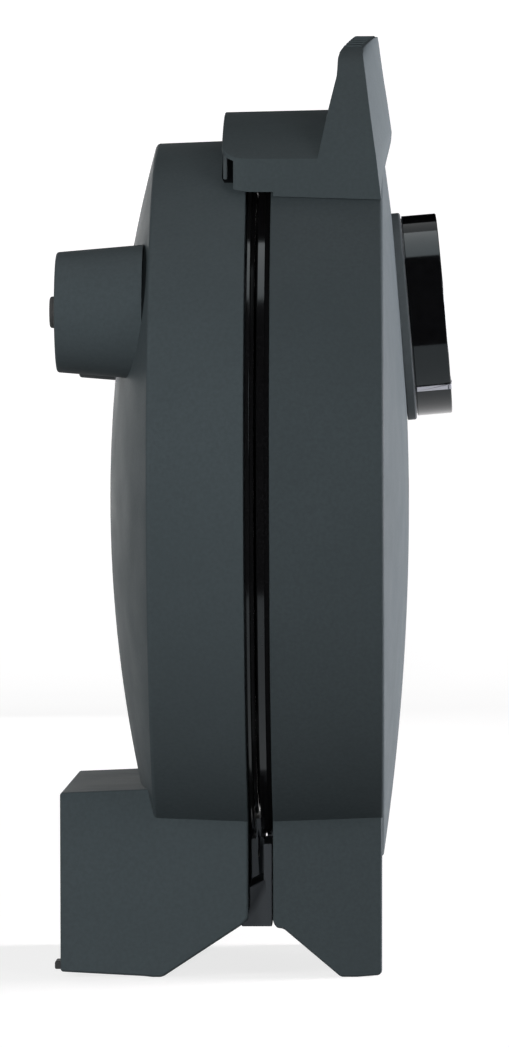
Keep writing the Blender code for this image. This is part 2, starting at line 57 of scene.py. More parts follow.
YAXIS = Vector((0.0, 1.0, 0.0))


def low(node):
    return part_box(node)[0] / MM


def high(node):
    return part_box(node)[1] / MM


def centre(node):
    return (low(node) + high(node)) / 2


# ---- sizes in millimetres, taken from the frame where it has them --------------------------------
SIDES = (("near", -1), ("far", 1))

# Each half is a drum from its parting face to its rim, then a shallow dome up to its apex.
BODY = Vector((0.0, 0.0, centre("lid_shell").z))
BODY_R = (high("lid_shell").y - low("lid_shell").y) / 2
RIM_R = BODY_R - 1.0
BASE_PART = high("base_shell").x
BASE_APEX = low("base_shell").x
BASE_RIM = BASE_APEX + 15.2
LID_PART = low("lid_shell").x
LID_APEX = high("lid_shell").x
LID_RIM = LID_APEX - 8.3
WALL = 2.5

# The baking plates, their rims and the mouth of the casing that they sit in.
PLATE_R = high("lower_plate_ring").y
DISC_R = high("lower_plate").y
COLLAR_R = PLATE_R - 6.8
MOUTH_R = PLATE_R - 6.3
PEG_PITCH = 18.0
PEG_HALF_ROOT, PEG_HALF_TOP = 6.3, 4.8
PEG_FIELD_R = 90.0

# The legs and the hinge between them; widths are half widths.
LEG_W = high("base_leg").y
LEG_TOP = 62.0
HINGE = Vector((centre("hinge_pin").x, 0.0, centre("hinge_pin").z))
PIN_R = (high("hinge_pin").x - low("hinge_pin").x) / 2
BORE_R = PIN_R + 0.3
BORE_DEPTH = 50.6              # the blocks' bores are blind
BRACKET_W = 17.9
HINGE_CLEAR_R, HINGE_CLEAR_W = 8.4, LEG_W - 3.2
BLOCK_IN, BLOCK_OUT = low("hinge_block_far").y, high("hinge_block_far").y

# The tapered feet, and the outer face of the leg that stands level with them.
FOOT_AT = centre("foot_pad_far")
FOOT_END = low("foot_far").x
FOOT_ROOT = -33.0
FOOT_R_END = 18.2
FOOT_R_ROOT = 20.4
LEG_OUT = FOOT_END - 0.2
PAD_TIP = low("foot_pad_far").x
NUB_Y = centre("leg_pad_far").y

# The handle's saddle over the rim, with a slot through it, and the release bar at the slot's left end.
SADDLE_W = high("handle_cover").y - 0.1
SADDLE_L = low("handle_cover").x
SADDLE_R = SADDLE_L + 48.1
SADDLE_R_TOP = SADDLE_L + 46.7
SADDLE_CORNER = 8.2
SADDLE_UNDER_R = BODY_R + 0.4
OVERHANG_R = BODY_R + 1.5
CROWN_R = 126.4
CROWN_Z = BODY.z - 4.0
CROWN_RISE = 0.02              # the crown climbs this much per mm towards the fin
CROWN_X = 14.0                 # and has its plain height here
LATCH_W = high("latch_bar").y
SLOT_W = LATCH_W + 4.0
SLOT_L, SLOT_R = -14.0, 36.4
SLOT_WALL = 1.3

# The dial, measured along its own tilted axis.
TURN = next(j for j in frame["record"]["behaviour"]["joints"] if j["name"] == "dial_turn")
DIAL_ORIGIN = Vector(TURN["pos_m"]) / MM
DIAL_AXIS = Vector(TURN["axis"]).normalized()
DIAL_R = high("dial").y
DIAL_BACK = 2.6
DIAL_FACE = 13.4
BEZEL_R = high("dial_bezel").y
BEZEL_TOP = 2.2
POINTER_ANGLE = math.radians(47.5)
POINTER_HALF, GROOVE_HALF = 1.15, 1.25


# ---- mesh helpers -----------------------------------------------------------------------------
def mesh_object(name, verts, faces):
    """Object from points in millimetres, with its faces turned outwards."""
    mesh = bpy.data.meshes.new(name)
    mesh.from_pydata([tuple(Vector(v) * MM) for v in verts], [], faces)
    bm = bmesh.new()
    bm.from_mesh(mesh)
    bmesh.ops.recalc_face_normals(bm, faces=bm.faces)
    bm.to_mesh(mesh)
    bm.free()
    obj = bpy.data.objects.new(name, mesh)
    bpy.context.collection.objects.link(obj)
    return obj


def axis_frame(direction):
    """Basis whose third column is the direction."""
    d = direction.normalized()
    side = YAXIS if abs(d.y) < 0.9 else XAXIS
    u = side.cross(d).normalized()
    return Matrix((u, d.cross(u), d)).transposed()


NEARLY_STRAIGHT = math.radians(88)      # half the angle at a corner that is too flat to round


def rounded(points, radii, steps):
    """The same outline with an arc of its own radius at each corner (0 keeps it sharp)."""
    out = []
    n = len(points)
    for i, (p, r) in enumerate(zip(points, radii)):
        a = Vector(points[i - 1]) - Vector(p)
        b = Vector(points[(i + 1) % n]) - Vector(p)
        if r <= 0 or a.length < 1e-6 or b.length < 1e-6:
            out.append(tuple(p))
            continue
        a.normalize()
        b.normalize()
        half = math.acos(max(-1.0, min(1.0, a.dot(b)))) / 2
        if half > NEARLY_STRAIGHT:
            out.append(tuple(p))
            continue
        back = r / math.tan(half)
        middle = Vector(p) + (a + b).normalized() * (r / math.sin(half))
        start = Vector(p) + a * back - middle
        end = Vector(p) + b * back - middle
        turn = start.angle_signed(end)
        for k in range(steps + 1):
            t = -turn * k / steps
            c, s = math.cos(t), math.sin(t)
            q = middle + Vector((start.x * c - start.y * s, start.x * s + start.y * c))
            out.append((q.x, q.y))
    return out


def turned(name, profile, origin, direction, segments):
    """Solid of revolution from a closed loop of (distance along, radius)."""
    basis = axis_frame(direction)
    verts, rings = [], []
    for along, radius in profile:
        if radius < 1e-6:
            rings.append([len(verts)])
            verts.append(origin + basis @ Vector((0, 0, along)))
            continue
        ring = []
        for k in range(segments):
            t = 2 * math.pi * k / segments
            ring.append(len(verts))
            verts.append(origin + basis @ Vector((radius * math.cos(t), radius * math.sin(t), along)))
        rings.append(ring)
    faces = []
    for i, a in enumerate(rings):
        b = rings[(i + 1) % len(rings)]
        if len(a) == 1 and len(b) == 1:
            continue
        for k in range(segments):
            n = (k + 1) % segments
            if len(a) == 1:
                faces.append((a[0], b[k], b[n]))
            elif len(b) == 1:
                faces.append((a[k], b[0], a[n]))
            else:
                faces.append((a[k], b[k], b[n], a[n]))
    return mesh_object(name, verts, faces)


def prism(name, outline, start, end):
    """Outline of (x, z) carried along Y from start to end."""
    n = len(outline)
    verts = [(x, start, z) for x, z in outline] + [(x, end, z) for x, z in outline]
    faces = [tuple(range(n)), tuple(range(2 * n - 1, n - 1, -1))]
    for i in range(n):
        j = (i + 1) % n
        faces.append((i, n + i, n + j, j))
    return mesh_object(name, verts, faces)


def block(name, a, b):
    """Box between two opposite corners."""
    return prism(name, [(a[0], a[2]), (b[0], a[2]), (b[0], b[2]), (a[0], b[2])], a[1], b[1])


def loft(name, sections):
    """Skin over sections with the same number of points, with both ends closed."""
    n = len(sections[0])
    verts = [p for s in sections for p in s]
    faces = []
    for i in range(len(sections) - 1):
        for k in range(n):
            m = (k + 1) % n
            faces.append((i * n + k, i * n + m, (i + 1) * n + m, (i + 1) * n + k))
    for base in (0, (len(sections) - 1) * n):
        for k in range(n // 2 - 1):
            faces.append((base + k, base + k + 1, base + n - 2 - k, base + n - 1 - k))
    return mesh_object(name, verts, faces)


def soften(obj, width, angle, segments):
    """Rounds every edge sharper than angle, in the mesh itself."""
    bm = bmesh.new()
    bm.from_mesh(obj.data)
    limit = math.radians(angle)
    edges = [e for e in bm.edges if len(e.link_faces) == 2 and e.calc_face_angle(0) > limit]
    bmesh.ops.bevel(bm, geom=edges, offset=width * MM, segments=segments, profile=0.5, affect="EDGES",
                    clamp_overlap=True)
    bm.to_mesh(obj.data)
    bm.free()
    return obj


def combine(target, other, operation, thorough=False):
    """Applies a boolean with the other object, which is used up."""
    mod = target.modifiers.new(operation, "BOOLEAN")
    mod.operation = operation
    mod.solver = "EXACT"
    mod.object = other
    mod.use_self = thorough
    dg = bpy.context.evaluated_depsgraph_get()
    mesh = bpy.data.meshes.new_from_object(target.evaluated_get(dg))
    target.modifiers.clear()
    target.data = mesh
    bpy.data.objects.remove(other, do_unlink=True)


def add(target, other):
    combine(target, other, "UNION")


def cut(target, other, thorough=False):
    combine(target, other, "DIFFERENCE", thorough)


def smooth(obj, angle):
    """Smooth shading, kept sharp at every edge steeper than angle."""
    bm = bmesh.new()
    bm.from_mesh(obj.data)
    for f in bm.faces:
        f.smooth = True
    for e in bm.edges:
        e.smooth = len(e.link_faces) == 2 and e.calc_face_angle(0.0) < math.radians(angle)
    bm.to_mesh(obj.data)
    bm.free()


REPLACED = set()          # CAD nodes that a finer piece stands for


def place(obj, body, material, nodes, angle=32):
    """The usual last steps for a finished piece."""
    obj.data.materials.clear()
    obj.data.materials.append(material)
    smooth(obj, angle)
    even = obj.modifiers.new("even_normals", "WEIGHTED_NORMAL")
    even.keep_sharp = True
    even.weight = 80
    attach(obj, body)
    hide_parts(*nodes)
    REPLACED.update(nodes)


# ---- materials ---------------------------------------------------------------------------------
MIX_FACTOR, MIX_A, MIX_B, MIX_RESULT = 0, 6, 7, 2       # the colour mix node's sockets
EDGE_HIGHLIGHT_SPAN = (0.505, 0.56)      # pointiness at which the painted edge highlight starts, and is at its brightest


class Shade:
    """A Principled material and short calls that add procedural detail to it."""

    def __init__(self, name, colour, roughness, metallic=0.0, specular=0.5):
        self.material = bpy.data.materials.new(name)
        self.material.use_nodes = True
        self.tree = self.material.node_tree
        self.shader = self.tree.nodes["Principled BSDF"]
        self.colour = colour
        self.roughness = roughness
        self.shader.inputs["Base Color"].default_value = (*colour, 1)
        self.shader.inputs["Roughness"].default_value = roughness
        self.shader.inputs["Metallic"].default_value = metallic
        self.shader.inputs["Specular IOR Level"].default_value = specular
        self.coords = self.tree.nodes.new("ShaderNodeTexCoord").outputs["Object"]
        self.colour_out = None
        self.normal_out = None

    def set(self, socket, value):
        self.shader.inputs[socket].default_value = value

    def noise(self, scale, detail, stretch=None):
        node = self.tree.nodes.new("ShaderNodeTexNoise")
        node.inputs["Scale"].default_value = scale
        node.inputs["Detail"].default_value = detail
        source = self.coords
        if stretch:
            mapping = self.tree.nodes.new("ShaderNodeMapping")
            mapping.inputs["Scale"].default_value = stretch
            self.tree.links.new(source, mapping.inputs["Vector"])
            source = mapping.outputs["Vector"]
        self.tree.links.new(source, node.inputs["Vector"])
        return node.outputs["Fac"]

    def span(self, value, low_value, high_value, from_low=0.3, from_high=0.7):
        """Maps a value from one range to another, held at the ends."""
        node = self.tree.nodes.new("ShaderNodeMapRange")
        node.inputs["From Min"].default_value = from_low
        node.inputs["From Max"].default_value = from_high
        node.inputs["To Min"].default_value = low_value
        node.inputs["To Max"].default_value = high_value
        self.tree.links.new(value, node.inputs["Value"])
        return node.outputs["Result"]

    def mix_towards(self, amount, other):
        """Mixes the colour so far with another one by the given amount."""
        node = self.tree.nodes.new("ShaderNodeMix")
        node.data_type = "RGBA"
        if self.colour_out is None:
            node.inputs[MIX_A].default_value = (*self.colour, 1)
        else:
            self.tree.links.new(self.colour_out, node.inputs[MIX_A])
        node.inputs[MIX_B].default_value = (*other, 1)
        self.tree.links.new(amount, node.inputs[MIX_FACTOR])
        self.colour_out = node.outputs[MIX_RESULT]
        self.tree.links.new(self.colour_out, self.shader.inputs["Base Color"])

    def vary_colour(self, factor, other, share=1.0):
        """Mixes towards another colour where factor is high."""
        self.mix_towards(self.span(factor, 0.0, share), other)

    def vary_roughness(self, factor, spread):
        rough = self.span(factor, self.roughness - spread, self.roughness + spread)
        self.tree.links.new(rough, self.shader.inputs["Roughness"])

    def bump(self, height, distance, strength=1.0):
        node = self.tree.nodes.new("ShaderNodeBump")
        node.inputs["Distance"].default_value = distance
        node.inputs["Strength"].default_value = strength
        self.tree.links.new(height, node.inputs["Height"])
        if self.normal_out is not None:
            self.tree.links.new(self.normal_out, node.inputs["Normal"])
        self.normal_out = node.outputs["Normal"]
        self.tree.links.new(self.normal_out, self.shader.inputs["Normal"])

    def edges(self, other, share):
        """Painted highlight: lightens convex edges, as if their bevels caught the light."""
        geometry = self.tree.nodes.new("ShaderNodeNewGeometry")
        self.mix_towards(self.span(geometry.outputs["Pointiness"], 0.0, share, *EDGE_HIGHLIGHT_SPAN), other)


def moulded_plastic(name, colour, roughness=0.62, specular=0.04, edge=None):
    """Matte appliance plastic with a fine spark-eroded grain and faint mottling."""
    m = Shade(name, colour, roughness, specular=specular)
    lighter = tuple(c * 1.18 for c in colour)
    darker = tuple(c * 0.86 for c in colour)
    m.vary_colour(m.noise(24, 4), lighter, 0.5)
    m.vary_colour(m.noise(900, 2), darker, 0.55)
    m.vary_roughness(m.noise(60, 3), 0.05)
    m.bump(m.noise(1700, 3), 0.00006, 0.7)
    m.bump(m.noise(12, 2), 0.0004, 0.10)
    # painted highlight along the convex edges, in the given colour
    if edge:
        m.edges(edge, 0.5)
    return m.material


BASE_COLOUR = (0.054, 0.068, 0.074)
# the lid's plastic is the base's colour darkened: painted shade for light that falls off from the
# base's side to the lid's side
LID_SHADED_COLOUR = tuple(c * 0.86 for c in BASE_COLOUR)
MATERIALS = {
    "base_casing": moulded_plastic("base_casing_plastic", BASE_COLOUR),
    "lid_casing": moulded_plastic("lid_casing_shaded_plastic", LID_SHADED_COLOUR),
    "handle": moulded_plastic("handle_plastic", (0.051, 0.064, 0.069)),
    "latch": moulded_plastic("latch_plastic", (0.066, 0.078, 0.084)),
    # the bezel and the trim carry a painted highlight along their convex edges
    "bezel": moulded_plastic("bezel_plastic", (0.062, 0.073, 0.079), 0.5, 0.04,
                             edge=(0.22, 0.24, 0.26)),
    "dark_trim": moulded_plastic("trim_plastic", (0.0052, 0.0058, 0.0068), 0.42, 0.06,
                                 edge=(0.09, 0.1, 0.11)),
    # near-black plastic for the faces inside the handle's slot: painted shade for the slot's depth
    "slot_painted_shade": moulded_plastic("slot_painted_shade_plastic", (0.006, 0.007, 0.008), 0.7, 0.02),
}


def add_other_materials():
    """Coatings, metals, rubber, lamp plastic and ceramic."""
    m = Shade("nonstick_coating", (0.010, 0.010, 0.011), 0.22, specular=0.6)
    m.vary_colour(m.noise(1500, 2), (0.03, 0.03, 0.032), 0.5)
    m.vary_roughness(m.noise(90, 3), 0.06)
    m.bump(m.noise(700, 3), 0.00005, 0.5)
    # painted highlight along the plate's convex edges
    m.edges((0.05, 0.05, 0.052), 0.6)
    MATERIALS["nonstick"] = m.material

    m = Shade("ring_gloss_enamel", (0.006, 0.006, 0.0065), 0.13, specular=0.34)
    m.vary_roughness(m.noise(70, 3), 0.03)
    m.vary_colour(m.noise(900, 2), (0.012, 0.012, 0.013), 0.5)
    m.bump(m.noise(60, 2), 0.00015, 0.05)
    m.set("Specular Tint", (0.84, 0.95, 1.0, 1.0))
    MATERIALS["plate_ring"] = m.material

    m = Shade("dial_gloss_black", (0.004, 0.004, 0.0045), 0.08, specular=0.33)
    m.vary_roughness(m.noise(40, 3), 0.025)
    m.vary_colour(m.noise(300, 2), (0.007, 0.007, 0.008), 0.5)
    m.bump(m.noise(25, 2), 0.0002, 0.05)
    m.set("Specular Tint", (0.8, 0.94, 1.0, 1.0))
    MATERIALS["dial"] = m.material

    m = Shade("pointer_satin_chrome", (0.36, 0.37, 0.41), 0.34, 1.0)
    m.vary_roughness(m.noise(800, 3, (1, 12, 1)), 0.08)
    m.bump(m.noise(900, 2, (1, 14, 1)), 0.00002, 0.5)
    MATERIALS["pointer"] = m.material

    m = Shade("plated_steel", (0.52, 0.52, 0.53), 0.32, 1.0)
    m.vary_colour(m.noise(120, 4), (0.36, 0.35, 0.34), 0.6)
    m.vary_roughness(m.noise(400, 3), 0.1)
    m.bump(m.noise(900, 3), 0.00003, 0.5)
    MATERIALS["steel"] = m.material

    m = Shade("heater_tube_steel", (0.24, 0.22, 0.2), 0.5, 1.0)
    m.vary_colour(m.noise(70, 4), (0.16, 0.12, 0.11), 0.8)
    m.vary_roughness(m.noise(200, 3), 0.12)
    m.bump(m.noise(600, 3), 0.00004, 0.6)
    MATERIALS["heater_sheath"] = m.material

    m = Shade("reflector_aluminium", (0.72, 0.72, 0.73), 0.34, 1.0)
    m.vary_colour(m.noise(35, 4), (0.55, 0.53, 0.5), 0.5)
    m.vary_roughness(m.noise(300, 3, (1, 1, 9)), 0.1)
    m.bump(m.noise(500, 2, (1, 1, 12)), 0.00003, 0.5)
    MATERIALS["reflector"] = m.material

    m = Shade("pad_rubber", (0.035, 0.037, 0.038), 0.82, specular=0.35)
    m.vary_colour(m.noise(200, 4), (0.06, 0.06, 0.06), 0.6)
    m.vary_roughness(m.noise(150, 3), 0.08)
    m.bump(m.noise(1200, 3), 0.00006, 0.7)
    MATERIALS["rubber"] = m.material

    m = Shade("lamp_lens_tinted", (0.36, 0.018, 0.012), 0.16)
    m.vary_colour(m.noise(300, 3), (0.2, 0.008, 0.006), 0.7)
    m.bump(m.noise(500, 2), 0.00003, 0.4)
    m.set("Coat Weight", 0.5)
    MATERIALS["lamp"] = m.material

    m = Shade("ceramic_terminal", (0.52, 0.49, 0.42), 0.6)
    m.vary_colour(m.noise(150, 4), (0.4, 0.37, 0.3), 0.6)
    m.vary_roughness(m.noise(250, 3), 0.08)
    m.bump(m.noise(900, 3), 0.00005, 0.6)
    MATERIALS["ceramic"] = m.material


add_other_materials()


# ---- casings -----------------------------------------------------------------------------------
def dome_x(rim_x, apex_x, rim_r, r):
    """Where the dome through the rim and the apex stands at radius r."""
    rise = abs(apex_x - rim_x)
    sphere = (rim_r ** 2 + rise ** 2) / (2 * rise)
    way = 1 if apex_x > rim_x else -1
    return apex_x - way * (sphere - math.sqrt(sphere ** 2 - r ** 2))


def dome(rim_x, apex_x, rim_r, steps):
    """Profile from just inside the rim to the apex."""
    radii = [rim_r * (1 - k / steps) for k in range(1, steps)]
    return [(dome_x(rim_x, apex_x, rim_r, r), r) for r in radii] + [(apex_x, 0.0)]


def casing(name, part_x, rim_x, apex_x):
    """Drum with its dome, and the hollow inside it as a second object."""
    way = 1 if apex_x > rim_x else -1
    near_rim = RIM_R - 6.0
    near_x = dome_x(rim_x, apex_x, RIM_R, near_rim)
    corner = rounded([(part_x, BODY_R), (rim_x, RIM_R), (near_x, near_rim)], [0.0, 1.3, 0.0], 6)[1:-1]
    outer = [(part_x, 0.0), (part_x, BODY_R - 0.5), (part_x + way * 0.15, BODY_R - 0.15),
             (part_x + way * 0.5, BODY_R)]
    outer += corner + [(near_x, near_rim)]
    outer += [p for p in dome(rim_x, apex_x, RIM_R, 22) if p[1] < near_rim - 1]
    lip = part_x + way * 2.2
    mouth = part_x - way * 2.0
    inner_rim = rim_x - way * 1.6
    inner = [(mouth, 0.0), (mouth, MOUTH_R), (lip, MOUTH_R), (lip, BODY_R - WALL),
             (inner_rim, RIM_R - WALL)]
    inner += dome(inner_rim, apex_x - way * WALL, RIM_R - WALL, 8)
    return (turned(name, outer, BODY, XAXIS, 200), turned(name + "_inside", inner, BODY, XAXIS, 120))


def foot_axes():
    """A point on each foot's axis, near and then far."""
    return [Vector((0, side * FOOT_AT.y, FOOT_AT.z)) for _, side in SIDES]


def base_casing():
    """Drum and dome of the base with its leg and both feet, and the seats for what they hold."""
    obj, inside = casing("base_casing", BASE_PART, BASE_RIM, BASE_APEX)
    # From the leg's outer bottom corner up over its wedge-shaped top, down along the parting face and
    # back along the slanted underside.
    outline = [(LEG_OUT, 1.7), (LEG_OUT, 56.5), (-28.0, 57.7), (-28.0, LEG_TOP), (BASE_PART, LEG_TOP),
               (BASE_PART, 17.8), (-4.4, 15.7), (-28.4, 0.0), (-31.4, 0.0), (-34.0, 0.3)]
    add(obj, soften(prism("leg", outline, -LEG_W, LEG_W), 0.9, 25, 3))
    post = [(FOOT_END, 0), (FOOT_END, FOOT_R_END), (FOOT_ROOT, FOOT_R_ROOT), (FOOT_ROOT, 0)]
    for at in foot_axes():
        add(obj, turned("post", rounded(post, [0, 0.9, 0, 0], 5), at, XAXIS, 96))
    cut(obj, inside)
    hollow = [(-57.0, 4.8), (-57.0, 53.9), (-34.0, 54.8), (-26.0, 60.0), (-9.2, 60.0), (-9.2, 19.8),
              (-28.6, 6.0)]
    cut(obj, prism("leg_inside", hollow, -LEG_W + WALL, LEG_W - WALL))
    post_in = [(-56.6, 0), (-56.6, 15.5), (-33.5, 17.0), (-33.5, 0)]
    pad_seat = [(-61, 0), (-61, 5.6), (FOOT_END - 0.1, 5.6), (FOOT_END + 0.4, 5.1), (-55.0, 5.1),
                (-55.0, 0)]
    for at, (_, side) in zip(foot_axes(), SIDES):
        cut(obj, turned("post_in", post_in, at, XAXIS, 64))
        cut(obj, turned("pad_seat", pad_seat, at, XAXIS, 48))
        y = side * NUB_Y
        cut(obj, block("nub_seat", (-61.0, y - 5.3, 1.9), (-58.4, y + 5.3, 4.9)))
    way = [(-HINGE_CLEAR_W, 0), (-HINGE_CLEAR_W, HINGE_CLEAR_R), (HINGE_CLEAR_W, HINGE_CLEAR_R),
           (HINGE_CLEAR_W, 0)]
    cut(obj, turned("hinge_way", way, HINGE, YAXIS, 96))
    cord = Vector((0, 0, centre("cord_gland").z))
    cut(obj, turned("cord_way", [(-62, 0), (-62, 6.3), (-55, 6.3), (-55, 0)], cord, XAXIS, 48))
    cut(obj, block("latch_notch", (-8.8, -7.0, 254.0), (0.0, 7.0, 262.0)))
    nodes = ["base_shell", "base_leg", "foot_near", "foot_far"]
    place(obj, "base", MATERIALS["base_casing"], nodes)


def lid_casing():
    """Drum and dome of the lid with its leg, and the seats for the dial's bezel and the lamps."""
    obj, inside = casing("lid_casing", LID_PART, LID_RIM, LID_APEX)
    outline = [(6.6, 15.0), (LID_PART, 16.6), (LID_PART, LEG_TOP), (33.0, LEG_TOP), (38.9, 50.0),
               (38.7, 0.6), (31.0, 0.0), (26.1, 0.0), (8.6, 14.8)]
    outline = rounded(outline, [0, 0, 0, 0, 0, 1.6, 0, 0, 0], 5)
    add(obj, soften(prism("leg", outline, -LEG_W, LEG_W), 0.7, 28, 3))
    cut(obj, inside)
    hollow = [(8.4, 60.0), (33.0, 60.0), (36.2, 50.0), (36.2, 3.2), (27.2, 2.8), (8.4, 18.4)]
    cut(obj, prism("leg_inside", hollow, -LEG_W + WALL, LEG_W - WALL))
    seat = [(-1.0, 0), (-1.0, 32.9), (8, 32.9), (8, 0)]
    cut(obj, turned("bezel_seat", seat, DIAL_ORIGIN, DIAL_AXIS, 128))
    cut(obj, turned("shaft_way", [(-8, 0), (-8, 6.0), (4, 6.0), (4, 0)], DIAL_ORIGIN, DIAL_AXIS, 40))
    for tag, _ in SIDES:
        lamp = centre("lamp_lens_" + tag)
        at = Vector((0, lamp.y, lamp.z))
        cut(obj, turned("lamp_way", [(40, 0), (40, 3.4), (52, 3.4), (52, 0)], at, XAXIS, 40))
    place(obj, "lid", MATERIALS["lid_casing"], ["lid_shell", "lid_leg"])


# ---- handle ------------------------------------------------------------------------------------
BAND_STEPS = 56
CORNER_TURNS = (90, 64, 50, 38, 27, 17, 8)      # stations round the saddle's corners, in degrees


def under(y):
    """Height of the saddle's underside."""
    return BODY.z + math.sqrt(SADDLE_UNDER_R ** 2 - y * y)


def crown(y, x):
    """Height of the saddle's top."""
    rise = CROWN_RISE * (x - CROWN_X) * (1 - (y / SADDLE_W) ** 2)
    return CROWN_Z + math.sqrt(CROWN_R ** 2 - y * y) + rise


def left_end(y):
    """The saddle's left end, rounded towards both sides."""
    over = abs(y) - (SADDLE_W - SADDLE_CORNER)
    if over <= 0:
        return SADDLE_L
    return SADDLE_L + SADDLE_CORNER - math.sqrt(max(SADDLE_CORNER ** 2 - over * over, 0.0))


def across(width, steps):
    """Evenly spaced places from -width to width."""
    return [-width + 2 * width * k / steps for k in range(steps + 1)]


def band(name, width, x0, x1, lift, drop, corner=False):
    """Curved bar over the rim, from the saddle's underside + lift to its crown - drop."""
    stations = across(width, BAND_STEPS)
    top_x1 = x1
    if corner:
        ends = [SADDLE_W - SADDLE_CORNER * (1 - math.sin(math.radians(a))) for a in CORNER_TURNS]
        inner = across(SADDLE_W - SADDLE_CORNER, BAND_STEPS)
        stations = [-e for e in ends] + inner + ends[::-1]
        top_x1 = SADDLE_R_TOP
    sections = []
    for y in stations:
        a = left_end(y) if corner else x0
        sections.append([(a, y, under(y) + lift), (x1, y, under(y) + lift),
                         (top_x1, y, crown(y, top_x1) - drop), (a, y, crown(y, a) - drop)])
    return loft(name, sections)


# The fin's left face, as height and place: straight up to its shoulder, then a slanted grip edge.
FIN_LEFT = [
    (200.0, 7.0),
    (249.0, 19.6),
    (266.0, 23.3),
    (275.5, 25.6),
    (281.0, 25.9),
    (283.3, 26.6),
    (290.0, 31.5),
    (290.6, 32.6),
    (300.0, 39.0),
]
FIN_W = SADDLE_W + 0.02

# The ribs on the grip edge, which start at this height.
RIBS_A_SIDE = 9
RIB_PITCH = 4.1
RIB_HALF = 0.55
RIB_PROUD = 0.22
RIB_START = 282.7

# One row per level: half width, right face at the sides and at the middle, height at the middle
# and at the sides.
FIN = [
    (FIN_W, 39.1, 39.6, 251.5, 236.0),
    (FIN_W, 38.2, 42.4, 258.1, 243.8),
    (FIN_W, 37.6, 42.6, 260.6, 249.0),
    (63.4, 36.6, 41.9, 265.5, 256.5),
    (60.0, 35.7, 41.3, 269.8, 263.5),
    (55.0, 34.8, 40.1, 277.5, 271.3),
    (50.0, 34.0, 39.2, 284.0, 278.2),
    (45.5, 33.6, 38.7, 287.9, 281.9),
    (40.5, 33.3, 38.3, 290.4, 284.2),
]


def fin_left(z):
    """The left face's place at a height."""
    for (z0, x0), (z1, x1) in zip(FIN_LEFT, FIN_LEFT[1:]):
        if z <= z1:
            return x0 + (x1 - x0) * (z - z0) / (z1 - z0)
    return FIN_LEFT[-1][1]


def fin_edges(row, y):
    """Left and right edge points of one level of the fin, at one place across it."""
    w, xs, xm, zm, zs = row
    f = 1 - (y / w) ** 2
    z = zs + (zm - zs) * f
    return (fin_left(z), y, z), (xs + (xm - xs) * f, y, z)


def refine(rows, times):
    """Rows on a smooth curve through the given ones."""
    out = []
    for i in range(len(rows) - 1):
        p0 = rows[max(i - 1, 0)]
        p1, p2 = rows[i], rows[i + 1]
        p3 = rows[min(i + 2, len(rows) - 1)]
        for k in range(times):
            t = k / times
            out.append(tuple(0.5 * (2 * b + (c - a) * t + (2 * a - 5 * b + 4 * c - d) * t * t
                                    + (3 * b - a - 3 * c + d) * t ** 3)
                             for a, b, c, d in zip(p0, p1, p2, p3)))
    out.append(rows[-1])
    return out


def fin(name, rows, steps):
    """The upright grip, one section a level."""
    sections = []
    for row in rows:
        pairs = [fin_edges(row, y) for y in across(row[0], steps)]
        sections.append([left for left, _ in pairs] + [right for _, right in reversed(pairs)])
    return loft(name, sections)


def grip_ribs():
    """Fine ribs along the slanted grip edge and over the fin's top, side by side across it."""
    rows = refine(FIN[5:], 3)
    out = []
    for k in range(-RIBS_A_SIDE, RIBS_A_SIDE + 1):
        y = RIB_PITCH * k
        lefts = [fin_edges(row, y)[0] for row in rows]
        outline = [(x - RIB_PROUD, z + 0.1) for x, _, z in lefts if z > RIB_START]
        (x0, _, z0), (x1, _, z1) = fin_edges(rows[-1], y)
        outline[-1] = (x0 - 0.1, z0 + 0.24)
        outline += [(x1 - 0.9, z1 + 0.24), (x1 - 1.1, z1 - 1.2), (x0 + 1.2, z0 - 1.2)]
        outline.append((outline[0][0] + 2.0, outline[0][1]))
        out.append(prism("rib", outline, y - RIB_HALF, y + RIB_HALF))
    return out


def handle():
    """Saddle with its fin and ribs, cut clear of the casings, and the slot inside it, whose inner faces
    are painted near-black as shade.
    """
    obj = soften(band("handle", SADDLE_W, SADDLE_L, SADDLE_R, -1.5, 0.0, corner=True), 0.35, 40, 3)
    grip = soften(fin("grip", FIN[:2] + refine(FIN[2:], 4), 44), 0.4, 38, 3)
    for rib in grip_ribs():
        add(grip, rib)
    add(obj, grip)
    step_x = LID_PART + 0.75
    clear = [(-20.0, 0.0), (-20.0, OVERHANG_R), (step_x, OVERHANG_R), (step_x, SADDLE_UNDER_R),
             (LID_RIM + 0.3, RIM_R + 0.5)]
    clear += dome(LID_RIM + 0.4, LID_APEX + 0.4, RIM_R + 0.2, 10)
    cut(obj, turned("casing_clearance", clear, BODY, XAXIS, 200), thorough=True)
    cut(obj, band("slot", SLOT_W, SLOT_L, SLOT_R, SLOT_WALL, SLOT_WALL), thorough=True)
    place(obj, "lid", MATERIALS["handle"], ["handle_cover"], angle=34)
    # the faces inside the slot get the near-black material: painted shade where the slot's depth would
    # keep the light out
    obj.data.materials.append(MATERIALS["slot_painted_shade"])
    skin = SLOT_WALL - 0.2
    for face in obj.data.polygons:
        x, y, z = (obj.matrix_world @ face.center) / MM
        inside = abs(y) < SLOT_W + 0.05 and under(y) + skin < z < crown(y, x) - skin
        if inside and left_end(y) + 0.15 < x < SLOT_R + 0.2:
            face.material_index = 1


